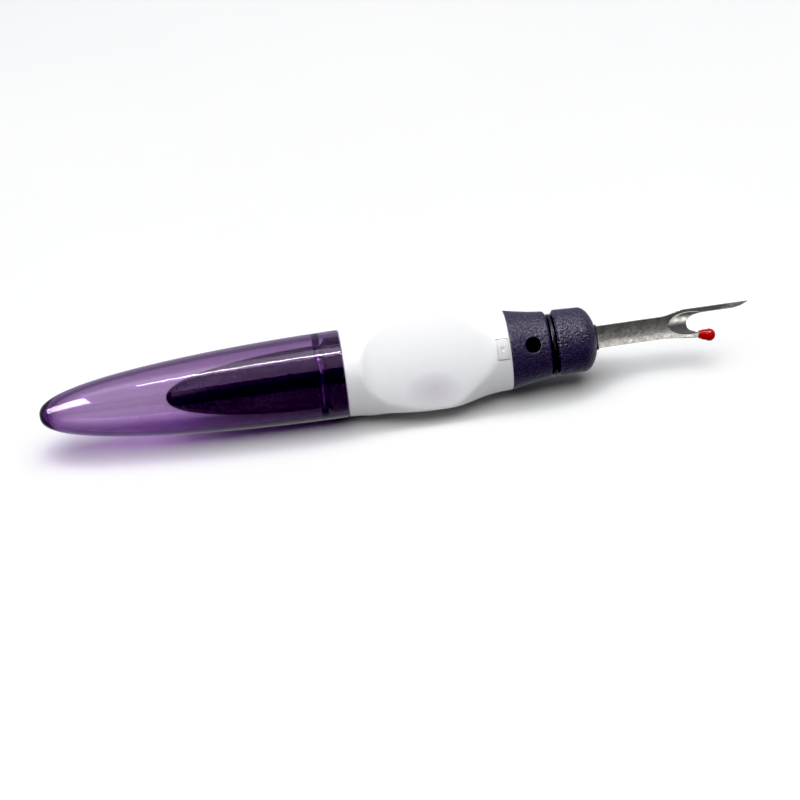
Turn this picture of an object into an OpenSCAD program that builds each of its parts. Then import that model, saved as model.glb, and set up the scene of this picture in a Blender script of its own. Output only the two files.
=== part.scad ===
// Seam ripper with an ergonomic grip, a forked steel blade and a clear cap posted on its tail.
// The handle's axis runs along +X towards the blade's point. Stations along it are
// measured from the cap's tip, and `lying` puts them into the part's own frame.

/* [Overall] */
// Length from the cap's tip to the blade's point
total_l = 160; // [158:0.5:164]

/* [Cap] */
// Length of the cap
cap_l = 67.8; // [66:0.2:69]
// Outer radius at the cap's mouth
cap_r = 9.74; // [9.6:0.02:10]
// Wall thickness at the mouth
cap_wall = 1.24; // [1:0.04:1.3]
// Solid thickness at the cap's tip
cap_tip_wall = 2.4; // [1.6:0.1:3]
// Inner radius of the snap bead
snap_r = 7.25; // [7.2:0.05:7.6]
// Distance from the mouth to the middle of the snap bead
snap_inset = 5.2; // [4.8:0.1:5.6]
// Gap between the cap's mouth and the grip
mouth_gap = 0.1; // [0.1:0.05:0.2]
// Length of the snap bead along the axis
snap_l = 1.3; // [1:0.1:1.6]

/* [Tail] */
// Free length of the tail inside the cap
tail_l = 39.6; // [36:0.2:41]
// Radius of the tail before its seat
tail_r = 7; // [6.4:0.1:7.1]
// Radius of the seat that the cap's mouth slides over
seat_r = 8.4; // [8.2:0.02:8.44]

/* [Grip] */
// Length of the white grip
grip_l = 37; // [36:0.2:38]
// Extra radius of the ridges at the belly
belly_h = 3.75; // [3:0.05:4]
// Distance from the grip's rear end to the belly
belly_at = 21.2; // [19:0.2:23]
// Least distance from the axis to a finger facet
facet_dist = 8; // [7.9:0.05:8.4]
// Radius of a finger facet across the grip
facet_across_r = 42; // [36:1:50]
// Radius of a facet's ends along the grip
facet_end_r = 10; // [10:0.2:12]
// Distance from the grip's rear end to the start of a facet's straight middle
facet_from = 9.6; // [9.2:0.1:9.8]
// Distance from the grip's rear end to the end of a facet's straight middle
facet_to = 29.3; // [28.8:0.1:29.6]
// Distance from the axis to a facet's resting flats, at the grip's rear end
rest_rear_d = 9.93; // [9.85:0.01:10]
// Distance from the axis to a facet's resting flats, at the grip's front end
rest_front_d = 8.89; // [8.8:0.01:8.95]

/* [Front ferrule] */
// Length of the collar up to the ring groove
collar_l = 9.2; // [8.6:0.1:9.6]
// Radius of the collar where it meets the grip
collar_rear_r = 8.88; // [8.6:0.02:9]
// Radius of the collar at the ring groove
collar_front_r = 7.45; // [7.4:0.01:7.6]
// Width of the ring groove between its flanks
groove_w = 1.36; // [1.3:0.02:1.5]
// Radius of the groove's floor
groove_r = 5.4; // [5.2:0.05:5.5]
// Length of the nose from the groove to its dome
nose_l = 5.8; // [5:0.1:6]
// Radius of the nose at the foot of its dome
nose_r = 7.25; // [7:0.05:7.4]
// Height of the domed front
dome_h = 3.7; // [3:0.1:4]
// Radius of the blind hole in the collar
hole_r = 1.65; // [1.4:0.05:1.8]
// Width of the chamfer round the hole's mouth
hole_chamfer = 0.25; // [0.1:0.05:0.3]
// Distance from the collar's rear face to the hole
hole_at = 5.1; // [4.6:0.1:5.4]
// Height of the hole's floor above the axis
hole_floor = 1.9; // [1.5:0.1:3]

/* [Blade] */
// Thickness of the blade
blade_t = 1; // [0.8:0.05:1.1]
// Width of the blade's shank
blade_w = 4.9; // [4.6:0.1:5.2]
// Largest radius of the bead
bead_r = 1.38; // [1.3:0.02:1.5]

/* [Hidden] */
$fn = 96;

// stations along the axis, from the cap's tip
grip_s = cap_l + mouth_gap;
collar_s = grip_s + grip_l;
groove_s = collar_s + collar_l;
nose_s = groove_s + groove_w;
dome_s = nose_s + nose_l;
front_s = dome_s + dome_h;
hole_s = collar_s + hole_at;
tail_s = cap_l - tail_l;

// the grip core and the spigots inside it
core_r = 7.2;
core_rib_r = 7.8;
core_rib_w = 1.5;
core_rib_inset = 1.6;
spigot_r = 6;
spigot_l = 12;
seat_l = 3.4;
flare_l = 1.2;

// retaining ring: its section, and how far it hangs below the axis
ring_section_r = 0.62;
ring_mean_r = 6.4;
ring_slack = 0.02;
ring_sag = ring_mean_r - ring_section_r - groove_r - ring_slack;
groove_rim = 0.6;

// rectangular exit lip that the blade leaves through
lip_h = 0.25;
lip_margin = 0.35;

// badge: a blank plate let into the grip beside the collar
badge_l = 2.6;
badge_w = 4.7;
badge_depth = 0.6;
badge_proud = 0.12;
badge_gap = 0.5;
dimple_r = 0.55;
dimple_depth = 0.15;

// blade, in its own plane: u from the ferrule's front, v across
shank_v = blade_w / 2;
point_u = total_l - front_s;
point_v = 3.4;
tang_w = 6.4;
tang_front_u = -2;
tang_rear_u = -22;
fork_u = 20.45;
prong_v = 2.3;
tine_angle = -10;
tine_root = [22.9, -2.55];
tine_w = 1.25;
tenon_w = 0.8;
tenon_l = 2.1;
wheel_r = 27.8;
wheel_crown_r = 9.3;
wheel_depth = 0.43;
wheel_u = fork_u + 0.9;
wheel_v = 0.4;
point_taper_l = 9;
point_t = 0.16;

// bead, along its own axis from its neck
bead_neck_r = 0.86;
bead_centre = 2.42;

// the axis lies this high when the grip's lower facet rests on a surface
axis_z = max([for (s = [0 : 0.05 : grip_l])
    min(ridge_radius(s), facet_distance(s), rest_distance(s))]);
// the blade's flat, the first facet, the hole and the badge all face this way
face_tilt = 60;

profile_n = 36;
barrel_n = 30;
curve_n = 12;

// a bullet's radius at a share t of its length
function bullet(t, power) = pow(1 - pow(1 - t, 1.9), power);
function ease(t) = (1 - cos(180 * t)) / 2;
function mix(a, b, t) = a + (b - a) * t;
function bezier(a, b, c, d, n = curve_n) =
    [for (i = [0 : n]) let (t = i / n, k = 1 - t)
        k * k * k * a + 3 * k * k * t * b + 3 * k * t * t * c + t * t * t * d];
// points along a profile, closer together at its tip
function shares(n) = [for (i = [1 : n]) pow(i / n, 2)];

function cap_outer(s) = cap_r * bullet(s / cap_l, 0.4);
function cap_inner(s) =
    (cap_r - cap_wall) * bullet((s - cap_tip_wall) / (cap_l - cap_tip_wall), 0.4);
function tail_radius(t) = tail_r * bullet(t, 0.45);
function collar_radius(t) =
    collar_front_r + (collar_rear_r - collar_front_r) * pow(1 - t, 1.5);
function belly(s) = s < belly_at
    ? pow(sin(90 * s / belly_at), 1.8)
    : pow(ease((grip_l - s) / (grip_l - belly_at)), 1.75);
function ridge_radius(s) = mix(cap_r, collar_rear_r, s / grip_l) + belly_h * belly(s);
function facet_distance(s) = facet_dist + facet_end_r
    - sqrt(pow(facet_end_r, 2) - pow(max(facet_from - s, s - facet_to, 0), 2));
function rest_distance(s) = mix(rest_rear_d, rest_front_d, s / grip_l);

// turns a profile of [station, radius] about the handle's axis
module turned(profile) {
    rotate([0, 90, 0]) rotate_extrude()
        rotate(90) mirror([0, 1]) polygon(profile);
}
// puts stations on the axis into the part's frame
module lying() {
    translate([-total_l / 2, 0, axis_z]) children();
}
// turns the blade's plane to face the front and up: x along, y across, z outwards
module facing() {
    rotate([face_tilt, 0, 0]) children();
}

module cap() {
    color([0.36, 0.12, 0.5, 0.45]) lying() {
        difference() {
            turned(concat([[0, 0]],
                [for (t = shares(profile_n)) [t * cap_l, cap_outer(t * cap_l)]],
                [[cap_l, 0]]));
            turned(concat([[cap_tip_wall, 0]],
                [for (t = shares(profile_n)) let (s = mix(cap_tip_wall, cap_l, t))
                    [s, cap_inner(s)]],
                [[cap_l + 1, cap_r - cap_wall], [cap_l + 1, 0]]));
        }
        snap_bead();
    }
}
module snap_bead() {
    s = cap_l - snap_inset;
    wall_r = cap_inner(s);
    turned([[s - snap_l / 2, wall_r + 0.2], [s - snap_l / 4, snap_r],
            [s + snap_l / 4, snap_r], [s + snap_l / 2, wall_r + 0.2]]);
}

module tail_plug() {
    bullet_l = grip_s - tail_s - flare_l - seat_l;
    color([0.16, 0.1, 0.28]) lying()
        turned(concat([[tail_s, 0]],
            [for (t = shares(profile_n)) [tail_s + t * bullet_l, tail_radius(t)]],
            [for (i = [1 : curve_n]) let (t = i / curve_n)
                [tail_s + bullet_l + t * flare_l, mix(tail_r, seat_r, pow(t, 2))]],
            [[grip_s, seat_r], [grip_s, spigot_r],
             [grip_s + spigot_l, spigot_r], [grip_s + spigot_l, 0]]));
}

// outside of the core, which the grip is moulded over
module core_outside() {
    translate([grip_s, 0, 0]) {
        rotate([0, 90, 0]) cylinder(r = core_r, h = grip_l);
        for (s = [core_rib_inset, grip_l - core_rib_inset - core_rib_w])
            translate([s, 0, 0]) rotate([0, 90, 0]) cylinder(r = core_rib_r, h = core_rib_w);
    }
}
module grip_core() {
    color([0.16, 0.1, 0.28]) lying() difference() {
        core_outside();
        translate([grip_s - 1, 0, 0]) rotate([0, 90, 0])
            cylinder(r = spigot_r, h = grip_l + 2);
    }
}

// everything inside one finger facet: a waisted body much wider than the grip
module facet_limit() {
    waist = facet_across_r;
    translate([grip_s, 0, facet_dist - waist]) rotate([0, 90, 0])
        rotate_extrude($fn = 180) difference() {
            translate([0, -grip_l / 2]) square([waist + facet_end_r, 2 * grip_l]);
            for (s = [facet_from, facet_to])
                translate([waist + facet_end_r, s]) circle(r = facet_end_r);
            translate([waist, facet_from])
                square([2 * facet_end_r, facet_to - facet_from]);
        }
}
// everything inside the plane that trims both ends of a facet to small resting flats
module rest_limit() {
    fall = atan2(rest_rear_d - rest_front_d, grip_l);
    reach = 2 * grip_l;
    translate([grip_s, 0, rest_rear_d]) rotate([0, fall, 0])
        translate([-reach / 2, -reach / 2, -reach]) cube([2 * reach, reach, reach]);
}
module grip_body() {
    intersection() {
        turned(concat([[grip_s, 0]],
            [for (i = [0 : barrel_n]) let (s = grip_l * i / barrel_n)
                [grip_s + s, ridge_radius(s)]],
            [[collar_s, 0]]));
        facing() facet_limit();
        rotate([face_tilt + 120, 0, 0]) facet_limit();
        rotate([face_tilt + 240, 0, 0]) facet_limit();
        facing() rest_limit();
        rotate([face_tilt + 120, 0, 0]) rest_limit();
        rotate([face_tilt + 240, 0, 0]) rest_limit();
    }
}
// block over the badge, from a depth below the grip's surface upwards
module badge_block(below, above, margin = 0) {
    outer_r = ridge_radius(grip_l - badge_gap - badge_l / 2);
    facing() translate([collar_s - badge_gap - badge_l / 2, 0, 0])
        rotate([0, 90, 0]) intersection() {
            difference() {
                cylinder(r = outer_r + above, h = badge_l + 2 * margin, center = true);
                cylinder(r = outer_r - below, h = badge_l + 3 * margin + 1, center = true);
            }
            translate([-outer_r, 0, 0])
                cube([2 * outer_r, badge_w + 2 * margin, badge_l + 2 * margin], center = true);
        }
}
module grip_sleeve() {
    color([0.96, 0.96, 0.97]) lying() difference() {
        grip_body();
        core_outside();
        badge_block(badge_depth, 2);
    }
}
module badge_plate() {
    top_r = ridge_radius(grip_l - badge_gap - badge_l / 2) + badge_proud;
    color([0.86, 0.86, 0.9]) lying() difference() {
        badge_block(badge_depth, badge_proud);
        facing() translate([collar_s - badge_gap - badge_l / 2, 0, top_r - dimple_depth])
            cylinder(r = dimple_r, h = 1);
    }
}

module blade_exit() {
    translate([front_s - dome_h, -shank_v - lip_margin, -blade_t / 2 - lip_margin])
        cube([dome_h + lip_h, blade_w + 2 * lip_margin, blade_t + 2 * lip_margin]);
}
module collar_hole() {
    edge = collar_radius(hole_at / collar_l) - hole_chamfer;
    translate([hole_s, 0, hole_floor]) cylinder(r = hole_r, h = 2 * edge);
    translate([hole_s, 0, edge])
        cylinder(r1 = hole_r, r2 = hole_r + 4 * hole_chamfer, h = 4 * hole_chamfer);
}
module front_ferrule() {
    color([0.19, 0.12, 0.33]) lying() difference() {
        union() {
            ferrule_body();
            facing() blade_exit();
        }
        facing() translate([front_s, 0, 0]) blade_blank();
        facing() collar_hole();
    }
}
module ferrule_body() {
    turned(concat(
        [[collar_s - spigot_l, 0], [collar_s - spigot_l, spigot_r], [collar_s, spigot_r]],
        [for (i = [0 : curve_n]) let (t = i / curve_n)
            [collar_s + t * (collar_l - groove_rim), collar_radius(t)]],
        [[groove_s, collar_front_r - groove_rim], [groove_s, groove_r],
         [nose_s, groove_r], [nose_s, collar_front_r - groove_rim],
         [nose_s + groove_rim, collar_front_r]],
        [for (i = [0 : curve_n]) let (a = 90 * i / curve_n)
            [dome_s + dome_h * sin(a), nose_r * cos(a)]]));
}
module retaining_ring() {
    color([0.05, 0.05, 0.07]) lying()
        translate([(groove_s + nose_s) / 2, 0, -ring_sag]) rotate([0, 90, 0])
            rotate_extrude() translate([ring_mean_r, 0]) circle(r = ring_section_r);
}

// a direction in the blade's plane, and a point that far along the tine
function along(a) = [cos(a), sin(a)];
function tine(d, w) = tine_root + d * along(tine_angle) + w * along(tine_angle + 90);

module blade_outline() {
    tip = [point_u, point_v];
    polygon(concat(
        [[tang_front_u, -shank_v], [tang_front_u, -tang_w / 2], [tang_rear_u, -tang_w / 2],
         [tang_rear_u, tang_w / 2], [tang_front_u, tang_w / 2], [tang_front_u, shank_v]],
        bezier([fork_u - 6, shank_v], [fork_u - 3, shank_v],
               [fork_u - 2.8, point_v], [fork_u + 0.5, point_v]),
        bezier(tip, [point_u - 1.2, 2.8], [point_u - 2.2, prong_v], [point_u - 4.5, prong_v]),
        bezier([fork_u + 4.6, prong_v], [fork_u + 1.8, prong_v], [fork_u, 1.5], [fork_u, 0.1]),
        bezier([fork_u, 0.1], [fork_u, -1.4], [fork_u + 1, -1.6], tine(0, tine_w / 2)),
        [tine(0.3, tine_w / 2), tine(0.5, tenon_w / 2), tine(tenon_l, tenon_w / 2),
         tine(tenon_l, -tenon_w / 2), tine(0.5, -tenon_w / 2), tine(0.3, -tine_w / 2)],
        bezier(tine(0, -tine_w / 2), [fork_u - 0.4, -3.15],
               [fork_u - 3, -shank_v], [fork_u - 7, -shank_v])));
}
module blade_blank() {
    translate([0, 0, -blade_t / 2]) linear_extrude(blade_t) blade_outline();
}
// the crowned wheel that grinds the fork's cutting edge
module grinding_wheel() {
    translate([wheel_u, wheel_v, blade_t / 2 - wheel_depth + wheel_r])
        rotate([90, 0, 0]) rotate_extrude()
            translate([wheel_r - wheel_crown_r, 0]) circle(r = wheel_crown_r);
}
// wedge that thins the long prong towards its point
module point_taper() {
    a = atan2((blade_t - point_t) / 2, point_taper_l);
    translate([point_u - point_taper_l, 0, blade_t / 2]) rotate([0, a, 0])
        cube([point_taper_l * 1.5, point_v * 2, blade_t]);
}
module blade() {
    color([0.72, 0.71, 0.7]) lying() facing() translate([front_s, 0, 0]) difference() {
        blade_blank();
        for (side = [0, 180]) rotate([side, 0, 0]) mirror([0, side / 180, 0]) {
            grinding_wheel();
            point_taper();
        }
    }
}
module bead() {
    neck = bezier([0, bead_neck_r], [0.5, bead_neck_r], [0.7, bead_r - 0.2],
                  [bead_centre - bead_r * cos(60), bead_r * sin(60)]);
    color([0.75, 0.03, 0.05]) lying() facing() difference() {
        translate([front_s + tine_root[0], tine_root[1], 0]) rotate([0, 0, tine_angle])
            turned(concat([[0, 0]], neck,
                [for (i = [1 : profile_n]) let (a = 120 - 120 * i / profile_n)
                    [bead_centre + bead_r * cos(a), bead_r * sin(a)]]));
        translate([front_s, 0, 0]) blade_blank();
    }
}

cap();
tail_plug();
grip_core();
grip_sleeve();
badge_plate();
front_ferrule();
retaining_ring();
blade();
bead();
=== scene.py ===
import math

import bmesh
import bpy
import numpy as np
from mathutils import Matrix, Vector
from mathutils.geometry import delaunay_2d_cdt


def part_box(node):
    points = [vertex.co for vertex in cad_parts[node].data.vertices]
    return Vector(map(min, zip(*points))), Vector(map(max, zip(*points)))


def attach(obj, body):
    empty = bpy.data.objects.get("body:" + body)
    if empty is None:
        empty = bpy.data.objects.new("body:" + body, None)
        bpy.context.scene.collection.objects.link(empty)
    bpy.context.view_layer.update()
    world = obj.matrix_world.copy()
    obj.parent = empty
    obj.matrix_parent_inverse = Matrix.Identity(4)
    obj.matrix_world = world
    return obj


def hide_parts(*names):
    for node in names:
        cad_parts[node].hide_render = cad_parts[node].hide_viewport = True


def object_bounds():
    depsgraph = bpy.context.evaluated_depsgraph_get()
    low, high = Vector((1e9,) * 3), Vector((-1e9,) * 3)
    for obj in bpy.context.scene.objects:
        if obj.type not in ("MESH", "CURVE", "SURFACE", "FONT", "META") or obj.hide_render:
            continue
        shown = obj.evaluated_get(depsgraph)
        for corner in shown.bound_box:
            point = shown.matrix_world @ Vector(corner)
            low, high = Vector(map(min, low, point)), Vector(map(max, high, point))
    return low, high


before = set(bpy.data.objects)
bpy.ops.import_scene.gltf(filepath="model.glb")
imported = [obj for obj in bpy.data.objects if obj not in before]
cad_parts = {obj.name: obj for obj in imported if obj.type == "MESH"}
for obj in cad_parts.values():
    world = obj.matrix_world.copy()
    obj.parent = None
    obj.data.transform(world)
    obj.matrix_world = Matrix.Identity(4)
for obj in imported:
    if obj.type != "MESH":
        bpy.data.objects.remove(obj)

CAD_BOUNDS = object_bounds()
MM = 0.001
TINY = 1e-6
MERGE_M = 1e-7


# ---------------------------------------------------------------- places
# Stations run along the handle in mm, from the cap's tip to the blade's point.
# Across (v) runs up the blade's width, and outwards (n) is square to its flat.

cap_low, cap_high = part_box("cap")
TIP_X = cap_low.x
AXIS_Y = (cap_low.y + cap_high.y) / 2
AXIS_Z = (cap_low.z + cap_high.z) / 2
FACE_TILT = math.radians(60)


def station(x):
    """The station in mm of a place on the row's x axis."""
    return (x - TIP_X) / MM


CAP_L = station(cap_high.x)
CAP_R = (cap_high.z - cap_low.z) / 2 / MM
GRIP_S = station(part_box("grip_sleeve")[0].x)
COLLAR_S = station(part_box("grip_sleeve")[1].x)
GRIP_L = COLLAR_S - GRIP_S
TAIL_S = station(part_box("tail_plug")[0].x)
LIP_S = station(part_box("front_ferrule")[1].x)
POINT_S = station(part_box("blade")[1].x)
BADGE_S0 = station(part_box("badge_plate")[0].x)
BADGE_S1 = station(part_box("badge_plate")[1].x)
RING_S = station((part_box("retaining_ring")[0].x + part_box("retaining_ring")[1].x) / 2)
RING_Z = (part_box("retaining_ring")[0].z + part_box("retaining_ring")[1].z) / 2


def placed(s, v, n):
    """Stations, across and outwards in mm, as points in the row frame in metres."""
    s, v, n = np.broadcast_arrays(s, v, n)
    tilt_c = math.cos(FACE_TILT)
    tilt_s = math.sin(FACE_TILT)
    return np.stack(
        [
            TIP_X + s * MM,
            AXIS_Y + (v * tilt_c - n * tilt_s) * MM,
            AXIS_Z + (v * tilt_s + n * tilt_c) * MM,
        ],
        -1,
    )


# ---------------------------------------------------------------- shapes

BULLET_FULLNESS = 1.9
CAP_BLUNTNESS = 0.4
CAP_WALL = 1.24
CAP_TIP_WALL = 2.4
CAP_RIM = 0.28
SNAP_R = 7.25
SNAP_INSET = 5.2
SNAP_HALF_W = 0.7
TAIL_R = 7.0
TAIL_BLUNTNESS = 0.45
SEAT_R = 8.4
SEAT_L = 3.4
FLARE_L = 1.2
SPIGOT_R = 6.0
SPIGOT_L = 12.0
CORE_R = 7.2
GRIP_RIM = 0.4
BELLY_H = 3.75
BELLY_AT = 21.2
BELLY_RISE = 1.8
BELLY_FALL = 1.75
FACET_DIST = 8.0
FACET_ACROSS_R = 42.0
FACET_END_R = 10.0
FACET_FROM = 9.6
FACET_TO = 29.3
FACET_SOFTNESS = 0.55
REST_SOFTNESS = 0.06
REST_REAR = 9.93
REST_FRONT = 8.89
COLLAR_L = 9.2
COLLAR_REAR_R = 8.88
COLLAR_FRONT_R = 7.45
COLLAR_FLARE = 1.5
GROOVE_W = 1.36
GROOVE_R = 5.4
GROOVE_RIM = 0.6
NOSE_L = 5.8
NOSE_R = 7.25
DOME_H = 3.7
HOLE_R = 1.65
HOLE_AT = 5.1
HOLE_FLOOR = 1.9
HOLE_FILLET = 0.36
BLADE_T = 1.0
BLADE_W = 4.9
LIP_MARGIN = 0.35
BADGE_W = 4.7
BADGE_GAP = 0.03
RING_SECTION_R = 0.62
RING_MEAN_R = 6.4

GROOVE_S = COLLAR_S + COLLAR_L
NOSE_S = GROOVE_S + GROOVE_W
DOME_S = NOSE_S + NOSE_L
FRONT_S = DOME_S + DOME_H
HOLE_S = COLLAR_S + HOLE_AT


def mix(a, b, t):
    return a + (b - a) * t


def bullet(t, power):
    """A bullet's radius at a share t of its length."""
    return (1 - (1 - t) ** BULLET_FULLNESS) ** power


def bezier(a, b, c, d, n):
    """A curve from a to d in n steps, drawn towards b and c."""
    t = np.linspace(0, 1, n + 1)[:, None]
    k = 1 - t
    a, b, c, d = (np.array(p, float) for p in (a, b, c, d))
    return k**3 * a + 3 * k**2 * t * b + 3 * k * t**2 * c + t**3 * d


def smooth_min(a, b, k):
    """The lower of two heights, with the crease between them rounded over about k."""
    h = np.clip(0.5 + 0.5 * (b - a) / k, 0, 1)
    return mix(b, a, h) - k * h * (1 - h)


def rounded(corners, steps=5):
    """A profile of (station, radius, fillet) corners with arcs at the fillets."""
    pts = [np.array(c[:2], float) for c in corners]
    out = []
    for i, (p, c) in enumerate(zip(pts, corners)):
        if c[2] == 0 or i in (0, len(pts) - 1):
            out.append(p)
            continue
        before = pts[i - 1] - p
        after = pts[i + 1] - p
        before /= np.linalg.norm(before)
        after /= np.linalg.norm(after)
        half = math.acos(np.clip(before @ after, -1, 1)) / 2
        reach = c[2] / math.tan(half)
        middle = (before + after) / np.linalg.norm(before + after)
        centre = p + middle * (c[2] / math.sin(half))
        first = p + before * reach - centre
        last = p + after * reach - centre
        turn = math.acos(np.clip(first @ last / c[2] ** 2, -1, 1))
        for j in range(steps + 1):
            t = j / steps
            arc = (math.sin((1 - t) * turn) * first + math.sin(t * turn) * last) / math.sin(turn)
            out.append(centre + arc)
    return [tuple(p) for p in out]


def make_piece(name, verts, faces, material, body, nodes=(), crease=38):
    """A smooth-shaded piece that rides on a body and stands for CAD nodes."""
    mesh = bpy.data.meshes.new(name)
    mesh.from_pydata([tuple(v) for v in verts], [], [tuple(f) for f in faces])
    bm = bmesh.new()
    bm.from_mesh(mesh)
    bmesh.ops.remove_doubles(bm, verts=bm.verts, dist=MERGE_M)
    bmesh.ops.recalc_face_normals(bm, faces=bm.faces)
    bm.to_mesh(mesh)
    bm.free()
    mesh.polygons.foreach_set("use_smooth", [True] * len(mesh.polygons))
    mesh.set_sharp_from_angle(angle=math.radians(crease))
    mesh.materials.append(material)
    piece = bpy.data.objects.new(name, mesh)
    bpy.context.scene.collection.objects.link(piece)
    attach(piece, body)
    if nodes:
        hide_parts(*nodes)
    return piece


def rows_of(count, length):
    """Vertex numbers of a grid, row by row."""
    return [range(i * length, (i + 1) * length) for i in range(count)]


def strips(rows):
    """Faces between each closed row of vertex numbers and the next."""
    faces = []
    for low, high in zip(rows, rows[1:]):
        for j in range(len(low)):
            k = (j + 1) % len(low)
            faces.append([low[j], low[k], high[k], high[j]])
    return faces


def lathe(profile, sides=192):
    """Vertices and faces of a profile of (station, radius) turned about the handle's axis."""
    angles = np.arange(sides) * 2 * math.pi / sides
    verts = []
    rows = []
    for s, r in profile:
        if r < TINY:
            rows.append([len(verts)] * sides)
            verts.append(placed(s, 0, 0))
            continue
        ring = placed(s, r * np.sin(angles), r * np.cos(angles))
        rows.append(list(range(len(verts), len(verts) + sides)))
        verts.extend(ring)
    faces = [list(dict.fromkeys(face)) for face in strips(rows)]
    return verts, [face for face in faces if len(face) > 2]


# ---------------------------------------------------------------- materials


class Shader:
    """A material and short ways to add nodes to it."""

    # places of the colour sockets on a mix node, which share their names with others
    MIX_COLOUR_A = 6
    MIX_COLOUR_B = 7
    MIX_COLOUR = 2

    def __init__(self, name, **sockets):
        self.material = bpy.data.materials.new(name)
        self.material.use_nodes = True
        self.tree = self.material.node_tree
        self.bsdf = self.tree.nodes["Principled BSDF"]
        self.output = self.tree.nodes["Material Output"]
        self.place = self.tree.nodes.new("ShaderNodeTexCoord").outputs["Object"]
        for socket, value in sockets.items():
            self.bsdf.inputs[socket.replace("_", " ")].default_value = value

    def node(self, kind, **inputs):
        made = self.tree.nodes.new(kind)
        for socket, value in inputs.items():
            self.feed(made.inputs[socket.replace("_", " ")], value)
        return made

    def feed(self, socket, value):
        if isinstance(value, bpy.types.NodeSocket):
            self.tree.links.new(value, socket)
        else:
            socket.default_value = value

    def noise(self, size_mm, detail=2.0, roughness=0.5, seed=0.0):
        """Noise with features of about a size, different for each seed."""
        shift = self.node("ShaderNodeMapping", Vector=self.place)
        shift.inputs["Location"].default_value = (seed, seed * 0.7, -seed * 0.4)
        made = self.node("ShaderNodeTexNoise", Vector=shift.outputs["Vector"])
        made.inputs["Scale"].default_value = 1 / (size_mm * MM)
        made.inputs["Detail"].default_value = detail
        made.inputs["Roughness"].default_value = roughness
        return made.outputs["Fac"]

    def map(self, value, low, high, to_low, to_high):
        """A value moved from one range to another and held within it."""
        made = self.node("ShaderNodeMapRange", Value=value)
        made.inputs["From Min"].default_value = low
        made.inputs["From Max"].default_value = high
        made.inputs["To Min"].default_value = to_low
        made.inputs["To Max"].default_value = to_high
        return made.outputs["Result"]

    def times(self, a, b):
        made = self.tree.nodes.new("ShaderNodeMath")
        made.operation = "MULTIPLY"
        self.feed(made.inputs[0], a)
        self.feed(made.inputs[1], b)
        return made.outputs["Value"]

    def blend(self, factor, a, b):
        """A colour between a and b."""
        made = self.tree.nodes.new("ShaderNodeMix")
        made.data_type = "RGBA"
        self.feed(made.inputs["Factor"], factor)
        self.feed(made.inputs[self.MIX_COLOUR_A], a)
        self.feed(made.inputs[self.MIX_COLOUR_B], b)
        return made.outputs[self.MIX_COLOUR]

    def bump(self, height, depth_mm):
        made = self.node("ShaderNodeBump", Height=height)
        made.inputs["Strength"].default_value = 1.0
        made.inputs["Distance"].default_value = depth_mm * MM
        self.feed(self.bsdf.inputs["Normal"], made.outputs["Normal"])

    def set(self, socket, value):
        self.feed(self.bsdf.inputs[socket], value)

    def let_lamps_through(self, colour):
        """Lamps shine through the glass, tinted, in place of a solid shadow."""
        tint = self.node("ShaderNodeBsdfTransparent", Color=colour)
        path = self.tree.nodes.new("ShaderNodeLightPath")
        either = self.tree.nodes.new("ShaderNodeMixShader")
        self.feed(either.inputs[0], path.outputs["Is Shadow Ray"])
        self.feed(either.inputs[1], self.bsdf.outputs["BSDF"])
        self.feed(either.inputs[2], tint.outputs["BSDF"])
        self.feed(self.output.inputs["Surface"], either.outputs["Shader"])


def clear_violet():
    """Clear polished violet plastic, coloured through its thickness."""
    through = (0.36, 0.024, 0.51, 1)
    lamp_tint = (0.865, 0.82, 0.895, 1)
    shader = Shader(
        "clear_violet",
        Base_Color=(1, 1, 1, 1),
        Transmission_Weight=1.0,
        IOR=1.49,
        Specular_IOR_Level=0.3,
        Roughness=0.015,
    )
    absorb = shader.tree.nodes.new("ShaderNodeVolumeAbsorption")
    absorb.inputs["Color"].default_value = through
    absorb.inputs["Density"].default_value = 600.0
    shader.tree.links.new(absorb.outputs["Volume"], shader.output.inputs["Volume"])
    shader.let_lamps_through(lamp_tint)
    shader.bump(shader.noise(5.0, 1.0, seed=3.1), 0.02)
    return shader.material


def dark_violet(name, deep, light, shine, grain_mm, depth_mm):
    """Dark violet moulding with a fine sparkling grain."""
    shader = Shader(name, IOR=1.5, Specular_IOR_Level=shine)
    patch = shader.noise(2.5, 3.0, seed=1.3)
    shader.set("Base Color", shader.blend(patch, deep, light))
    grain = shader.noise(grain_mm, 2.5, 0.55, seed=2.7)
    shader.set("Roughness", shader.map(grain, 0.3, 0.7, 0.22, 0.38))
    shader.bump(grain, depth_mm)
    return shader.material


# where the painted shade sits low on the facet, in mm, and how far it reaches
SHADE_PATCH_S = 86.7
SHADE_PATCH_V = -6.6
SHADE_PATCH_HALF_L = 6.5
SHADE_PATCH_HALF_W = 4.2
SHADE_PATCH_SHARE = 0.5


def white_grip():
    """Satin white grip with painted shade: a violet-tinted darkening low on the facet."""
    white = (0.745, 0.745, 0.755, 1)
    # the painted shade's colour: a darker, violet-tinted white
    shaded_violet = (0.50, 0.43, 0.54, 1)
    shader = Shader("white_grip", IOR=1.46, Roughness=0.42)
    shade_spot = shader.node("ShaderNodeMapping", Vector=shader.place)
    shade_spot.vector_type = "TEXTURE"
    shade_spot.inputs["Location"].default_value = placed(SHADE_PATCH_S, SHADE_PATCH_V, FACET_DIST)
    shade_spot.inputs["Scale"].default_value = (SHADE_PATCH_HALF_L * MM, SHADE_PATCH_HALF_W * MM, SHADE_PATCH_HALF_W * MM)
    away = shader.node("ShaderNodeVectorMath")
    away.operation = "LENGTH"
    shader.feed(away.inputs[0], shade_spot.outputs["Vector"])
    # painted shade, strongest at the patch's middle and fading to none at its edge, broken up by
    # noise
    shade = shader.map(away.outputs["Value"], 0.0, 1.0, SHADE_PATCH_SHARE, 0.0)
    cloud = shader.map(shader.noise(3.0, 2.0, seed=4.2), 0.3, 0.7, 0.8, 1.0)
    shader.set("Base Color", shader.blend(shader.times(shade, cloud), white, shaded_violet))
    shader.bump(shader.noise(0.5, 2.0, seed=5.0), 0.004)
    return shader.material


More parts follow.
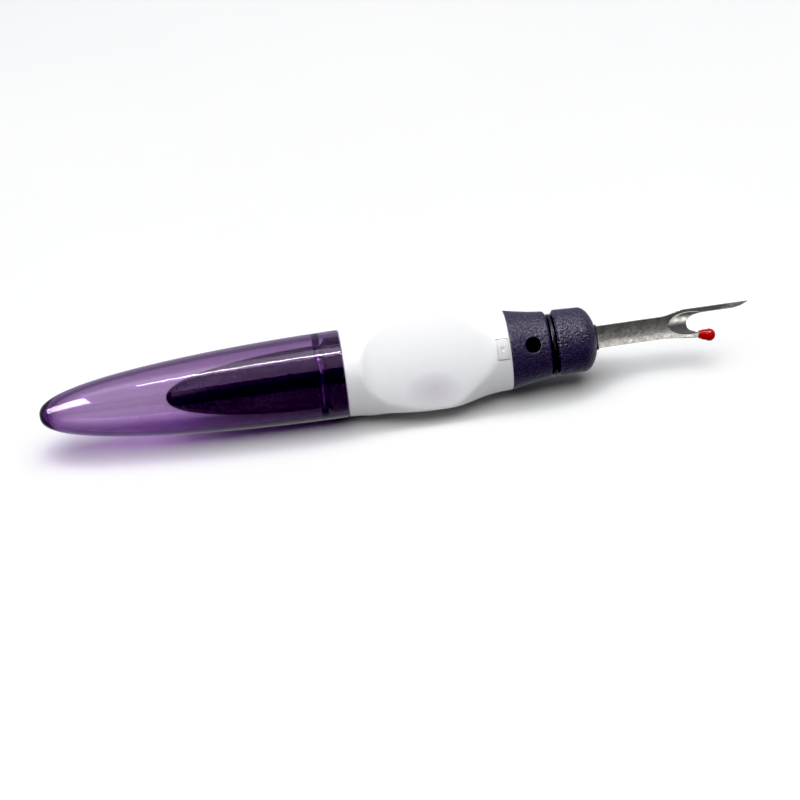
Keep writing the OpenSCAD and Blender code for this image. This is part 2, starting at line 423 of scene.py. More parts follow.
def badge_white():
    """Semi-gloss off-white plate."""
    dull = (0.66, 0.66, 0.67, 1)
    clean = (0.72, 0.72, 0.73, 1)
    shader = Shader("badge_white", Roughness=0.3)
    cloud = shader.noise(1.5, 2.0, seed=6.0)
    shader.set("Base Color", shader.blend(cloud, dull, clean))
    shader.bump(shader.noise(0.3, 1.0, seed=6.5), 0.004)
    return shader.material


def black_rubber():
    """Slightly glossy black rubber, faintly dusty."""
    black = (0.004, 0.004, 0.006, 1)
    dusty = (0.009, 0.009, 0.012, 1)
    shader = Shader("black_rubber", Specular_IOR_Level=0.45)
    dust = shader.noise(0.8, 3.0, seed=7.0)
    shader.set("Base Color", shader.blend(dust, black, dusty))
    shader.set("Roughness", shader.map(dust, 0.3, 0.7, 0.24, 0.4))
    shader.bump(shader.noise(0.25, 2.0, seed=7.5), 0.006)
    return shader.material


def tumbled_steel():
    """Steel dulled by tumbling, with soft mottling."""
    dull = (0.54, 0.52, 0.49, 1)
    bright = (0.80, 0.77, 0.73, 1)
    shader = Shader("tumbled_steel", Metallic=1.0)
    mottle = shader.map(shader.noise(1.5, 4.0, 0.65, seed=8.0), 0.3, 0.7, 0.0, 1.0)
    shader.set("Base Color", shader.blend(mottle, dull, bright))
    fine = shader.noise(0.9, 2.0, 0.5, seed=8.5)
    shader.set("Roughness", shader.map(fine, 0.3, 0.7, 0.16, 0.24))
    shader.bump(shader.noise(0.9, 3.0, 0.55, seed=9.0), 0.016)
    return shader.material


def red_bead():
    """Glossy dipped red."""
    deep = (0.40, 0.002, 0.005, 1)
    bright = (0.50, 0.003, 0.008, 1)
    shader = Shader("red_bead", Roughness=0.14)
    cloud = shader.noise(1.2, 2.0, seed=10.0)
    shader.set("Base Color", shader.blend(cloud, deep, bright))
    return shader.material


def paper_white():
    """Pale matte paper for the floor."""
    darker = (0.60, 0.60, 0.60, 1)
    lighter = (0.62, 0.62, 0.62, 1)
    shader = Shader("paper_white", Roughness=0.9)
    shade = shader.noise(60.0, 1.0, seed=11.0)
    shader.set("Base Color", shader.blend(shade, darker, lighter))
    return shader.material


# ---------------------------------------------------------------- cap and tail


def cap_outer(s):
    """The cap's outer radius at a station."""
    return CAP_R * bullet(s / CAP_L, CAP_BLUNTNESS)


def cap_inner(s):
    """The bore's radius, with the snap bead as a rounded rib."""
    t = np.clip((s - CAP_TIP_WALL) / (CAP_L - CAP_TIP_WALL), 0, 1)
    bore = (CAP_R - CAP_WALL) * bullet(t, CAP_BLUNTNESS)
    off = np.clip(abs(s - (CAP_L - SNAP_INSET)) / SNAP_HALF_W, 0, 1)
    return mix(bore, SNAP_R, (1 - off**2) ** 2)


def add_cap(material):
    """The hollow shell with its rounded mouth, and closer rows over the snap bead."""
    mouth_s = CAP_L - 2 * CAP_RIM
    stations_out = CAP_L * np.linspace(0, 1, 110) ** 2
    outer = [(s, cap_outer(s)) for s in stations_out if s < mouth_s]
    mouth = rounded(
        [
            (mouth_s, cap_outer(mouth_s), 0),
            (CAP_L, CAP_R, CAP_RIM),
            (CAP_L, CAP_R - CAP_WALL, CAP_RIM),
            (mouth_s, cap_inner(mouth_s), 0),
        ],
        steps=8,
    )
    close_l = 6.5
    span = mouth_s - CAP_TIP_WALL
    far = CAP_TIP_WALL + (span - close_l) * np.linspace(0, 1, 90) ** 2
    near = np.linspace(CAP_TIP_WALL + span - close_l, CAP_TIP_WALL + span, 60)[1:-1]
    inner = [(s, float(cap_inner(s))) for s in np.concatenate([far, near])][::-1]
    verts, faces = lathe(outer + mouth + inner, sides=224)
    make_piece("clear_cap", verts, faces, material, "cap", ["cap"], crease=60)


def add_tail(material):
    """The tapered tail with the cap's seat behind it and its spigot in the grip."""
    bullet_l = GRIP_S - TAIL_S - FLARE_L - SEAT_L
    body = [
        (TAIL_S + t * bullet_l, TAIL_R * bullet(t, TAIL_BLUNTNESS))
        for t in np.linspace(0, 1, 90) ** 2
    ]
    flare = [
        (TAIL_S + bullet_l + t * FLARE_L, mix(TAIL_R, SEAT_R, t**2))
        for t in np.linspace(0, 1, 16)[1:]
    ]
    end = rounded(
        [
            (GRIP_S - SEAT_L, SEAT_R, 0),
            (GRIP_S, SEAT_R, 0.2),
            (GRIP_S, SPIGOT_R, 0),
            (GRIP_S + SPIGOT_L, SPIGOT_R, 0.4),
            (GRIP_S + SPIGOT_L, 0, 0),
        ]
    )
    verts, faces = lathe(body + flare + end[1:])
    make_piece("tail_moulding", verts, faces, material, "handle", ["tail_plug"])


# ---------------------------------------------------------------- grip


def ridge_radius(s):
    """The grip's radius on its ridges, s mm from its rear end."""
    rising = np.sin(np.pi / 2 * np.clip(s / BELLY_AT, 0, 1)) ** BELLY_RISE
    share = np.clip((GRIP_L - s) / (GRIP_L - BELLY_AT), 0, 1)
    falling = ((1 - np.cos(np.pi * share)) / 2) ** BELLY_FALL
    belly = np.where(s < BELLY_AT, rising, falling)
    return mix(CAP_R, COLLAR_REAR_R, s / GRIP_L) + BELLY_H * belly


def grip_radius(s, angle):
    """The grip's radius s mm from its rear end, at an angle from the facing direction."""
    past = np.maximum(np.maximum(FACET_FROM - s, s - FACET_TO), 0)
    reach = FACET_ACROSS_R + FACET_END_R - np.sqrt(FACET_END_R**2 - past**2)
    back = FACET_ACROSS_R - FACET_DIST
    radius = ridge_radius(s) + 0 * angle
    for turn in (0, 2 * np.pi / 3, 4 * np.pi / 3):
        phi = (angle - turn + np.pi) % (2 * np.pi) - np.pi
        facet = np.sqrt(reach**2 - (back * np.sin(phi)) ** 2) - back * np.cos(phi)
        radius = smooth_min(radius, facet, FACET_SOFTNESS)
        flat = mix(REST_REAR, REST_FRONT, s / GRIP_L) / np.maximum(np.cos(phi), 0.05)
        radius = smooth_min(radius, flat, REST_SOFTNESS)
    return radius


def add_grip(material):
    """The sleeve, with a pocket for the badge and softened rims."""
    arc = GRIP_RIM * (1 - np.cos(np.linspace(0, np.pi / 2, 7)))
    pocket_depth = 0.3
    pocket_edge = 0.02
    pocket = [BADGE_S0 - GRIP_S - BADGE_GAP, BADGE_S1 - GRIP_S + BADGE_GAP]
    rows = np.concatenate(
        [
            arc,
            np.linspace(GRIP_RIM, GRIP_L - GRIP_RIM, 170)[1:-1],
            GRIP_L - arc[::-1],
            [pocket[0], pocket[0] + pocket_edge, pocket[1] - pocket_edge, pocket[1]],
        ]
    )
    rows = np.unique(np.round(rows, 5))
    badge_r = float(ridge_radius(np.array((pocket[0] + pocket[1]) / 2)))
    half = math.asin((BADGE_W / 2 + BADGE_GAP) / badge_r)
    edge_turn = pocket_edge / badge_r
    sides = 240
    turns = np.concatenate(
        [
            np.arange(sides) * 2 * np.pi / sides - np.pi,
            [-half, half, edge_turn - half, half - edge_turn],
        ]
    )
    turns = np.unique(np.round(turns, 6))
    s, angle = np.meshgrid(rows, turns, indexing="ij")
    radius = grip_radius(s, angle)
    edge = np.minimum(s, GRIP_L - s)
    radius -= GRIP_RIM - np.sqrt(GRIP_RIM**2 - np.clip(GRIP_RIM - edge, 0, GRIP_RIM) ** 2)
    inside = (s > pocket[0] + pocket_edge / 2) & (s < pocket[1] - pocket_edge / 2)
    inside &= abs(angle) < half - edge_turn / 2
    radius = np.where(inside, radius - pocket_depth, radius)
    grid = placed(GRIP_S + s, radius * np.sin(angle), radius * np.cos(angle))
    verts = list(grid.reshape(-1, 3))
    bore = []
    for end_s in (0, GRIP_L):
        bore.append(range(len(verts), len(verts) + len(turns)))
        verts.extend(placed(GRIP_S + end_s, CORE_R * np.sin(turns), CORE_R * np.cos(turns)))
    outside = rows_of(len(rows), len(turns))
    faces = strips([bore[0], *outside, bore[1], bore[0]])
    make_piece(
        "white_sleeve", verts, faces, material, "handle", ["grip_sleeve"], crease=50
    )


def add_badge(material):
    """A blank curved plate with a bevelled edge and a small dimple in its middle."""
    length = BADGE_S1 - BADGE_S0
    middle_s = (BADGE_S0 + BADGE_S1) / 2
    proud = 0.12
    thickness = 0.5
    top_r = float(ridge_radius(np.array(middle_s - GRIP_S))) + proud
    bevel = 0.18
    corner = 0.35
    dimple_r = 0.5
    dimple_depth = 0.12
    n_u, n_v = 60, 90
    u = np.linspace(-length / 2, length / 2, n_u)
    v = np.linspace(-BADGE_W / 2, BADGE_W / 2, n_v)
    uu, vv = np.meshgrid(u, v, indexing="ij")
    out_u = np.abs(uu) - (length / 2 - corner)
    out_v = np.abs(vv) - (BADGE_W / 2 - corner)
    pull = np.maximum(np.hypot(np.maximum(out_u, 0), np.maximum(out_v, 0)) - corner, 0)
    push = np.where((out_u > 0) & (out_v > 0) & (pull > 0), corner / (corner + pull), 1)
    uu = np.where(push < 1, np.sign(uu) * (length / 2 - corner + out_u * push), uu)
    vv = np.where(push < 1, np.sign(vv) * (BADGE_W / 2 - corner + out_v * push), vv)
    out_u = np.abs(uu) - (length / 2 - corner)
    out_v = np.abs(vv) - (BADGE_W / 2 - corner)
    inset = corner - np.hypot(np.maximum(out_u, 0), np.maximum(out_v, 0))
    straight = np.minimum(length / 2 - np.abs(uu), BADGE_W / 2 - np.abs(vv))
    inset = np.minimum(inset, np.where((out_u > 0) & (out_v > 0), inset, straight))
    fall = bevel - np.sqrt(bevel**2 - np.clip(bevel - inset, 0, bevel) ** 2)
    dimple = dimple_depth * np.clip(1 - np.hypot(uu, vv) / dimple_r, 0, 1) ** 0.5
    radius = top_r - fall - dimple
    low = top_r - thickness
    angle = vv / top_r
    top = placed(middle_s + uu, radius * np.sin(angle), radius * np.cos(angle))
    base = placed(middle_s + uu, low * np.sin(angle), low * np.cos(angle))
    count = n_u * n_v
    verts = list(top.reshape(-1, 3)) + list(base.reshape(-1, 3))
    faces = []
    for i in range(n_u - 1):
        for j in range(n_v - 1):
            a = i * n_v + j
            quad = [a, a + 1, a + n_v + 1, a + n_v]
            faces.append(quad)
            faces.append([count + q for q in quad[::-1]])
    rim = list(range(n_v))
    rim += [i * n_v + n_v - 1 for i in range(1, n_u)]
    rim += [(n_u - 1) * n_v + j for j in range(n_v - 2, -1, -1)]
    rim += [i * n_v for i in range(n_u - 2, 0, -1)]
    for a, b in zip(rim, rim[1:] + rim[:1]):
        faces.append([a, b, count + b, count + a])
    make_piece("blank_badge", verts, faces, material, "handle", ["badge_plate"])


# ---------------------------------------------------------------- collar and nose


def collar_radius(s):
    """The collar's radius at a station."""
    t = np.clip((s - COLLAR_S) / COLLAR_L, 0, 1)
    return COLLAR_FRONT_R + (COLLAR_REAR_R - COLLAR_FRONT_R) * (1 - t) ** COLLAR_FLARE


def front_profile(patch):
    """The ferrule's outline, with evenly spaced rows through the hole's patch."""
    rear_s = COLLAR_S + 0.8
    groove_from = GROOVE_S - GROOVE_RIM - 0.3
    groove_to = NOSE_S + GROOVE_RIM + 0.3
    shoulder_s = GROOVE_RIM - 0.1
    shoulder_r = COLLAR_FRONT_R - GROOVE_RIM - 0.1
    floor_inset = 0.12
    nose_rear_r = COLLAR_FRONT_R - 0.01
    rear = rounded(
        [
            (COLLAR_S - SPIGOT_L, 0, 0),
            (COLLAR_S - SPIGOT_L, SPIGOT_R, 0.3),
            (COLLAR_S, SPIGOT_R, 0),
            (COLLAR_S, COLLAR_REAR_R, 0.25),
            (rear_s, float(collar_radius(rear_s)), 0),
        ]
    )
    before = np.linspace(rear_s, patch[0], 9)[1:-1]
    after = np.linspace(patch[-1], groove_from, 4)[1:-1]
    collar = [(s, float(collar_radius(s))) for s in np.concatenate([before, patch, after])]
    groove = rounded(
        [
            (groove_from, float(collar_radius(groove_from)), 0),
            (GROOVE_S - shoulder_s, COLLAR_FRONT_R, 0.5),
            (GROOVE_S, shoulder_r, 0.25),
            (GROOVE_S + floor_inset, GROOVE_R, 0.1),
            (NOSE_S - floor_inset, GROOVE_R, 0.1),
            (NOSE_S, shoulder_r, 0.25),
            (NOSE_S + shoulder_s, COLLAR_FRONT_R, 0.5),
            (groove_to, nose_rear_r, 0),
        ],
        steps=7,
    )
    nose = [
        (mix(groove_to, DOME_S, t), mix(nose_rear_r, NOSE_R, t))
        for t in np.linspace(0, 1, 12)[1:-1]
    ]
    dome = [
        (DOME_S + DOME_H * math.sin(a), NOSE_R * math.cos(a))
        for a in np.linspace(0, np.pi / 2, 30)[:-1]
    ]
    return rear + collar + groove + nose + dome + [(FRONT_S, 0)], len(rear) + len(before)


def surface_at(s, v):
    """Outwards height of the collar's surface over a point."""
    return np.sqrt(collar_radius(s) ** 2 - v**2)


def add_front(material):
    """Collar and nose, with the round mouth of the blind hole worked into the surface."""
    sides = 216
    half = 12
    patch_reach = 2.85
    patch = np.linspace(HOLE_S - patch_reach, HOLE_S + patch_reach, 2 * half + 1)
    profile, first = front_profile(patch)
    verts, faces = lathe(profile, sides)
    # the first row of the profile is a single vertex on the axis
    first_vert = 1 + (first - 1) * sides

    def in_patch(face):
        """Whether a face of the plain collar lies where the hole's mouth goes."""
        if face[0] < first_vert:
            return False
        rows = [(i - first_vert) // sides for i in face]
        cols = [((i - 1) % sides + sides // 2) % sides - sides // 2 for i in face]
        return max(rows) <= 2 * half and max(abs(c) for c in cols) <= half

    faces = [face for face in faces if not in_patch(face)]
    loop = [(0, c) for c in range(-half, half)]
    loop += [(r, half) for r in range(2 * half)]
    loop += [(2 * half, c) for c in range(half, -half, -1)]
    loop += [(r, -half) for r in range(2 * half, 0, -1)]
    rings = [[first_vert + r * sides + c % sides for r, c in loop]]
    edge_s = np.array([patch[r] for r, c in loop])
    turn = np.array([c for r, c in loop]) * 2 * np.pi / sides
    edge_v = collar_radius(edge_s) * np.sin(turn)
    alpha = np.arctan2(edge_v, edge_s - HOLE_S)
    outer = HOLE_R + HOLE_FILLET

    def add_ring_of(s, v, height):
        """One more row of the hole, from the patch's edge inwards."""
        rings.append(range(len(verts), len(verts) + len(loop)))
        verts.extend(placed(s, v, height))

    for t in (0.25, 0.45, 0.62, 0.76, 0.87, 0.95, 1.0):
        s = mix(edge_s, HOLE_S + outer * np.cos(alpha), t)
        v = mix(edge_v, outer * np.sin(alpha), t)
        add_ring_of(s, v, surface_at(s, v))
    for a in np.linspace(0, np.pi / 2, 8)[1:]:
        rho = HOLE_R + HOLE_FILLET * (1 - math.sin(a))
        s = HOLE_S + rho * np.cos(alpha)
        v = rho * np.sin(alpha)
        add_ring_of(s, v, surface_at(s, v) - HOLE_FILLET * (1 - math.cos(a)))
    for rho, height in ((HOLE_R, HOLE_FLOOR + 0.3), (HOLE_R - 0.1, HOLE_FLOOR), (0.05, HOLE_FLOOR)):
        add_ring_of(HOLE_S + rho * np.cos(alpha), rho * np.sin(alpha), height)
    faces += strips(rings)
    faces.append(list(rings[-1]))
    make_piece(
        "collar_and_nose", verts, faces, material, "handle", ["front_ferrule"]
    )


def add_exit_lip(material):
    """Low rounded frame on the dome that the blade comes out of."""
    half_v = BLADE_W / 2 + LIP_MARGIN
    half_n = BLADE_T / 2 + LIP_MARGIN
    corner = 0.3
    steps = 8
    outline = []
    for sv, sn, start in ((1, 1, 0), (-1, 1, 90), (-1, -1, 180), (1, -1, 270)):
        for j in range(steps + 1):
            a = math.radians(start + 90 * j / steps)
            outline.append(
                (
                    sv * (half_v - corner) + corner * math.cos(a),
                    sn * (half_n - corner) + corner * math.sin(a),
                )
            )
    outline = np.array(outline)
    verts = []
    rings = []
    edge = 0.14
    root_depth = 2.4
    layers = [(FRONT_S - root_depth, 0)]
    layers += [
        (LIP_S - edge + edge * math.sin(a), edge * (1 - math.cos(a)))
        for a in np.linspace(0, np.pi / 2, 6)
    ]
    layers += [(LIP_S, 0.26), (LIP_S - 0.16, 0.33)]
    for s, inset in layers:
        size = np.array([half_v, half_n])
        shrunk = outline * (size - inset) / size
        rings.append(range(len(verts), len(verts) + len(outline)))
        verts.extend(placed(s, shrunk[:, 0], shrunk[:, 1]))
    faces = strips(rings)
    faces.append(list(rings[-1]))
    faces.append(list(rings[0])[::-1])
    make_piece("exit_lip", verts, faces, material, "handle")


def add_ring(material):
    """The retaining ring, which hangs slightly low in its groove."""
    around, section = 160, 28
    verts = []
    for i in range(around):
        a = 2 * np.pi * i / around
        for j in range(section):
            b = 2 * np.pi * j / section
            r = RING_MEAN_R + RING_SECTION_R * math.cos(b)
            verts.append(
                (
                    TIP_X + (RING_S + RING_SECTION_R * math.sin(b)) * MM,
                    AXIS_Y + r * math.cos(a) * MM,
                    RING_Z + r * math.sin(a) * MM,
                )
            )
    rows = rows_of(around, section)
    faces = strips([*rows, rows[0]])
    make_piece("black_ring", verts, faces, material, "handle", ["retaining_ring"])


# ---------------------------------------------------------------- blade and bead
# In the blade's plane, u runs from the ferrule's front and v across.

SHANK_V = BLADE_W / 2
POINT_U = POINT_S - FRONT_S
POINT_V = 3.4
FORK_U = 20.45
PRONG_V = 2.3
TANG_W = 6.4
TANG_FROM = -22
TANG_TO = -2
SHOWN_FROM = -3
TINE_ANGLE = math.radians(-10)
TINE_ROOT = np.array([22.9, -2.55])
TINE_W = 1.25
TINE_L = 1.2
TINE_END_W = 0.72
WHEEL_R = 27.8
WHEEL_CROWN_R = 9.3
WHEEL_DEPTH = 0.43
WHEEL_U = FORK_U + 0.9
WHEEL_V = 0.4
EDGE_R = 0.2
CROWN_H = 0.1
POINT_TAPER_L = 9.0
POINT_T = 0.16
THINNEST = 0.02
BEAD_R = 1.38
BEAD_NECK_R = 0.86
BEAD_CENTRE = 2.42
BEAD_SHOULDER = math.radians(120)


def tine(d, w):
    """A point d along the short tine and w across it."""
    along = np.array([math.cos(TINE_ANGLE), math.sin(TINE_ANGLE)])
    across = np.array([-math.sin(TINE_ANGLE), math.cos(TINE_ANGLE)])
    return TINE_ROOT + d * along + w * across


def blade_loop():
    """The blade's outline with its tang, as one dense closed loop."""
    upper = bezier(
        [FORK_U - 6, SHANK_V],
        [FORK_U - 3, SHANK_V],
        [FORK_U - 2.8, POINT_V],
        [FORK_U + 0.5, POINT_V],
        50,
    )
    tip = bezier(
        [POINT_U, POINT_V],
        [POINT_U - 1.2, 2.8],
        [POINT_U - 2.2, PRONG_V],
        [POINT_U - 4.5, PRONG_V],
        36,
    )
    crotch = bezier(
        [FORK_U + 4.6, PRONG_V],
        [FORK_U + 1.8, PRONG_V],
        [FORK_U, 1.5],
        [FORK_U, 0.1],
        44,
    )
    inner = bezier(
        [FORK_U, 0.1],
        [FORK_U, -1.4],
        [FORK_U + 1, -1.6],
        tine(0, TINE_W / 2),
        36,
    )
    lower = bezier(
        tine(0, -TINE_W / 2),
        [FORK_U - 0.4, -3.15],
        [FORK_U - 3, -SHANK_V],
        [FORK_U - 7, -SHANK_V],
        60,
    )
    tang = [
        [TANG_TO, -SHANK_V],
        [TANG_TO, -TANG_W / 2],
        [TANG_FROM, -TANG_W / 2],
        [TANG_FROM, TANG_W / 2],
        [TANG_TO, TANG_W / 2],
        [TANG_TO, SHANK_V],
    ]
    end = [tine(TINE_L, TINE_END_W / 2), tine(TINE_L, -TINE_END_W / 2)]
    rough = np.vstack([tang, upper, tip, crotch, inner[1:], end, lower])
    return resampled(rough, 0.13)


def resampled(loop, step):
    """A closed loop with its long sides cut into steps."""
    out = []
    for a, b in zip(loop, np.roll(loop, -1, axis=0)):
        count = max(1, math.ceil(np.linalg.norm(b - a) / step))
        if np.linalg.norm(b - a) < TINY:
            continue
        for j in range(count):
            out.append(mix(a, b, j / count))
    return np.array(out)


def edge_distance(points, loop):
    """How far each point is from the outline."""
    best = np.full(len(points), np.inf)
    for a, b in zip(loop, np.roll(loop, -1, axis=0)):
        d = b - a
        t = np.clip((points - a) @ d / (d @ d), 0, 1)
        best = np.minimum(best, np.linalg.norm(points - a - t[:, None] * d, axis=1))
    return best


def is_inside(points, loop):
    """Whether each point is within the outline."""
    odd = np.zeros(len(points), bool)
    x, y = points[:, 0], points[:, 1]
    for a, b in zip(loop, np.roll(loop, -1, axis=0)):
        crosses = (a[1] > y) != (b[1] > y)
        if b[1] != a[1]:
            odd ^= crosses & (x < (b[0] - a[0]) * (y - a[1]) / (b[1] - a[1]) + a[0])
    return odd


def half_thickness(points, distance):
    """Half the blade's thickness: rounded edges, wheel-ground fork and thinned point."""
    u, v = points[:, 0], points[:, 1]
    inward = np.clip(EDGE_R - distance, 0, EDGE_R)
    rounded_edge = BLADE_T / 2 - EDGE_R + np.sqrt(EDGE_R**2 - inward**2)
    crown = BLADE_T / 2 - CROWN_H * np.clip(v / SHANK_V, -1.4, 1.4) ** 2
    off_v = np.clip(abs(v - WHEEL_V), 0, WHEEL_CROWN_R * 0.99)
    reach = WHEEL_R - WHEEL_CROWN_R + np.sqrt(WHEEL_CROWN_R**2 - off_v**2)
    off_u = np.clip(abs(u - WHEEL_U), 0, reach * 0.99)
    ground = BLADE_T / 2 - WHEEL_DEPTH + WHEEL_R - np.sqrt(reach**2 - off_u**2)
    share = np.clip((u - (POINT_U - POINT_TAPER_L)) / POINT_TAPER_L, 0, 1)
    taper = mix(BLADE_T / 2, POINT_T / 2, share)
    thin = smooth_min(np.minimum(rounded_edge, crown), ground, 0.02)
    return np.maximum(smooth_min(thin, taper, 0.03), THINNEST)


def blade_seeds(outline):
    """Points inside the outline: rows along its edge, then a fine and a coarse grid."""
    seeds = []
    tangent = np.roll(outline, -1, axis=0) - np.roll(outline, 1, axis=0)
    tangent /= np.linalg.norm(tangent, axis=1)[:, None]
    normal = np.stack([-tangent[:, 1], tangent[:, 0]], 1)
    shown = outline[:, 0] > SHOWN_FROM
    for inset in (0.04, 0.1, 0.17, 0.26):
        for way in (1, -1):
            moved = (outline + way * inset * normal)[shown]
            near = edge_distance(moved, outline)
            seeds.append(moved[is_inside(moved, outline) & (near > inset * 0.9)])
    fine = np.meshgrid(np.arange(SHOWN_FROM, POINT_U, 0.16), np.arange(-3.6, 3.6, 0.16))
    coarse = np.meshgrid(np.arange(-21.6, SHOWN_FROM - 0.2, 0.8), np.arange(-3, 3.1, 0.75))
    for (u, v), margin in ((fine, 0.33), (coarse, 0.3)):
        points = np.stack([u.ravel(), v.ravel()], 1)
        points = points[is_inside(points, outline)]
        seeds.append(points[edge_distance(points, outline) > margin])
    return np.vstack(seeds)


def add_blade(material):
    """The blade's flat outline filled with triangles, given thickness on both sides."""
    outline = blade_loop()
    points = np.vstack([outline, blade_seeds(outline)])
    edges = [(i, (i + 1) % len(outline)) for i in range(len(outline))]
    filled = delaunay_2d_cdt([Vector(p) for p in points], edges, [], 1, TINY)
    flat = np.array([tuple(p) for p in filled[0]])
    triangles = [f for f in filled[2] if len(f) == 3]
    middles = np.array([flat[list(f)].mean(axis=0) for f in triangles])
    inside = is_inside(middles, outline)
    triangles = [f for f, ok in zip(triangles, inside) if ok]
    height = half_thickness(flat, edge_distance(flat, outline))
    count = len(flat)
    verts = list(placed(FRONT_S + flat[:, 0], flat[:, 1], height))
    verts += list(placed(FRONT_S + flat[:, 0], flat[:, 1], -height))
    faces = [list(f) for f in triangles] + [[count + i for i in f[::-1]] for f in triangles]
    used = {}
    for f in triangles:
        for a, b in ((f[0], f[1]), (f[1], f[2]), (f[2], f[0])):
            key = (min(a, b), max(a, b))
            used[key] = used.get(key, 0) + 1
    for (a, b), times in used.items():
        if times == 1:
            faces.append([a, b, count + b, count + a])
    make_piece(
        "forked_blade", verts, faces, material, "handle", ["blade"], crease=55
    )


def add_bead(material):
    """The pear-shaped bead on the short tine."""
    neck = bezier(
        [0, BEAD_NECK_R],
        [0.5, BEAD_NECK_R],
        [0.7, BEAD_R - 0.2],
        [
            BEAD_CENTRE + BEAD_R * math.cos(BEAD_SHOULDER),
            BEAD_R * math.sin(BEAD_SHOULDER),
        ],
        16,
    )
    ball = [
        (BEAD_CENTRE + BEAD_R * math.cos(a), BEAD_R * math.sin(a))
        for a in np.linspace(BEAD_SHOULDER, 0, 40)[1:]
    ]
    profile = [(0.0, 0.0), (0.0, BEAD_NECK_R - 0.12), (0.06, BEAD_NECK_R - 0.03)]
    profile += [tuple(p) for p in neck[1:]] + ball
    sides = 72
    verts = []
    for d, r in profile:
        for j in range(sides):
            a = 2 * np.pi * j / sides
            u, v = tine(d, r * math.cos(a))
            verts.append(placed(FRONT_S + u, v, r * math.sin(a)))
    faces = strips(rows_of(len(profile), sides))
    make_piece("red_bead_ball", verts, faces, material, "handle", ["bead"])


# ---------------------------------------------------------------- studio


FLOOR_SIZE = 4.0


def add_floor(material):
    """Paper that takes the shadows but isn't mirrored in the polished parts."""
    bpy.ops.mesh.primitive_plane_add(size=FLOOR_SIZE, location=(0, 0, 0))
    floor = bpy.context.object
    floor.name = "paper_floor"
    floor.data.materials.append(material)
    floor.visible_glossy = False


def add_softbox(name, place, target, length, width, power, role):
    """A softbox that faces a target, its length along x, for light or for reflections only."""
    light = bpy.data.lights.new(name, "AREA")
    light.shape = "RECTANGLE"
    light.size = length
    light.size_y = width
    light.energy = power
    lamp = bpy.data.objects.new(name, light)
    bpy.context.scene.collection.objects.link(lamp)
    back = (Vector(place) - Vector(target)).normalized()
    side = Vector((1, 0, 0))
    side = (side - back * side.dot(back)).normalized()
    turn = Matrix((side, back.cross(side), back)).transposed()
    lamp.matrix_world = Matrix.Translation(place) @ turn.to_4x4()
    lamp.visible_glossy = role == "reflection"
    lamp.visible_diffuse = role == "light"


def add_world(dark, bright):
    """A cool pale studio that grows dim in front of the object."""
    towards_dim = (0, -0.98, -0.2)
    cool_white = (0.93, 0.96, 1, 1)
    world = bpy.data.worlds.new("studio")
    bpy.context.scene.world = world
    world.use_nodes = True
    tree = world.node_tree
    place = tree.nodes.new("ShaderNodeTexCoord")
    lean = tree.nodes.new("ShaderNodeVectorMath")
    lean.operation = "DOT_PRODUCT"
    lean.inputs[1].default_value = towards_dim
    tree.links.new(place.outputs["Generated"], lean.inputs[0])
    share = tree.nodes.new("ShaderNodeMapRange")
    share.interpolation_type = "SMOOTHSTEP"
    share.inputs["From Min"].default_value = -0.45
    share.inputs["From Max"].default_value = 0.75
    share.inputs["To Min"].default_value = bright
    share.inputs["To Max"].default_value = dark
    tree.links.new(lean.outputs["Value"], share.inputs["Value"])
    background = tree.nodes["Background"]
    background.inputs["Color"].default_value = cool_white
    tree.links.new(share.outputs["Result"], background.inputs["Strength"])


LENS_MM = 120
SENSOR_MM = 36


def add_camera():
    """The camera looks down at the object, turned and rolled a little."""
    azimuth = math.radians(-3.4)
    elevation = math.radians(29)
    roll = math.radians(6.5)
    distance = 0.594
    drop = 7.65 * MM
    aside = 0.6 * MM
    back = Vector(
        (
            math.sin(azimuth) * math.cos(elevation),
            -math.cos(azimuth) * math.cos(elevation),
            math.sin(elevation),
        )
    )
    level = (-back).cross(Vector((0, 0, 1))).normalized()
    upright = level.cross(-back)
    right = level * math.cos(roll) - upright * math.sin(roll)
    up = upright * math.cos(roll) + level * math.sin(roll)
    middle = Vector(((CAD_BOUNDS[0].x + CAD_BOUNDS[1].x) / 2, AXIS_Y, AXIS_Z))
    aim = middle - up * drop + right * aside
    data = bpy.data.cameras.new("camera")
    data.lens = LENS_MM
    data.sensor_width = SENSOR_MM
    data.clip_start = 0.01
    data.clip_end = 20
    camera = bpy.data.objects.new("camera", data)
    bpy.context.scene.collection.objects.link(camera)
    turn = camera.matrix_world.to_3x3()
    turn.col[0] = right
    turn.col[1] = up
    turn.col[2] = back
    camera.matrix_world = turn.to_4x4()
    camera.location = aim + back * distance
    bpy.context.scene.camera = camera


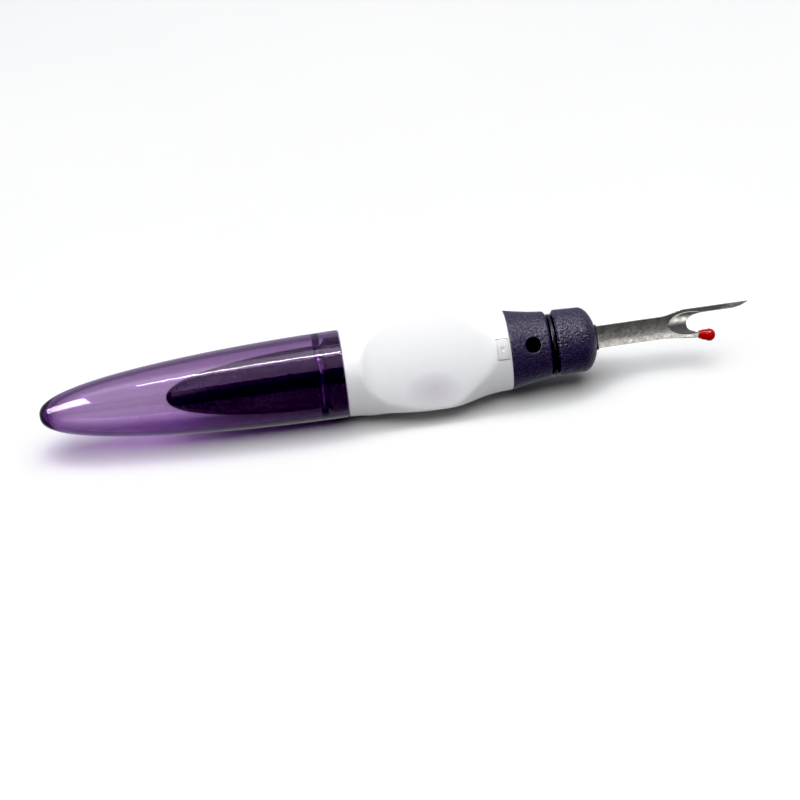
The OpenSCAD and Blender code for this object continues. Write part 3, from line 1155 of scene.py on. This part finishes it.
# name, place, target, length, width, power and role, in metres and watts
SOFTBOXES = (
    ("overhead_light", (0, -0.08, 0.9), (0, 0, 0), 1.5, 1.4, 19, "light"),
    ("strip_glint", (0.3, -0.05, 0.9), (0.2, 0, 0), 1.2, 0.045, 6.5, "reflection"),
    ("sheen", (0.2, 0.1, 0.9), (0.1, 0, 0), 1.4, 0.25, 2.6, "reflection"),
    ("left_glint", (-0.75, -0.22, 0.67), (-0.08, 0, 0), 0.7, 0.5, 18, "reflection"),
    ("low_glint", (0.45, -0.8, 0.32), (0.06, 0, 0), 0.75, 0.22, 0.7, "reflection"),
)


def add_studio():
    """The floor, the surroundings and every softbox."""
    add_floor(paper_white())
    add_world(dark=0.08, bright=0.5)
    for name, place, target, length, width, power, role in SOFTBOXES:
        add_softbox(name, place, target, length, width, power, role)


BLACK_LEVEL = 0.014
TONES = ((0.3, 0.24), (0.68, 0.56), (0.92, 0.93))
ALL_COLOURS = 3


def set_tones():
    """Deep blacks and a little more contrast in the light tones."""
    view = bpy.context.scene.view_settings
    view.view_transform = "Standard"
    view.look = "None"
    view.use_curve_mapping = True
    view.curve_mapping.black_level = (BLACK_LEVEL,) * 3
    curve = view.curve_mapping.curves[ALL_COLOURS]
    for light, shown in TONES:
        curve.points.new(light, shown)
    view.curve_mapping.update()


def build():
    """Every piece with its material, and the hidden core's own shape in dark violet."""
    plastic = dark_violet(
        "dark_violet",
        deep=(0.019, 0.011, 0.044, 1),
        light=(0.029, 0.017, 0.064, 1),
        shine=0.65,
        grain_mm=0.58,
        depth_mm=0.4,
    )
    # the same dark violet plastic as the collar, its colour lowered much further as painted shade
    # for the dim light inside the cap
    tail = dark_violet(
        "tail_violet",
        deep=(0.003, 0.001, 0.007, 1),
        light=(0.005, 0.002, 0.011, 1),
        shine=0.2,
        grain_mm=0.4,
        depth_mm=0.1,
    )
    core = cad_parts["grip_core"]
    core.data.materials.clear()
    core.data.materials.append(plastic)
    add_cap(clear_violet())
    add_tail(tail)
    add_grip(white_grip())
    add_badge(badge_white())
    add_front(plastic)
    add_exit_lip(plastic)
    add_ring(black_rubber())
    add_blade(tumbled_steel())
    add_bead(red_bead())


build()
add_studio()
set_tones()
add_camera()
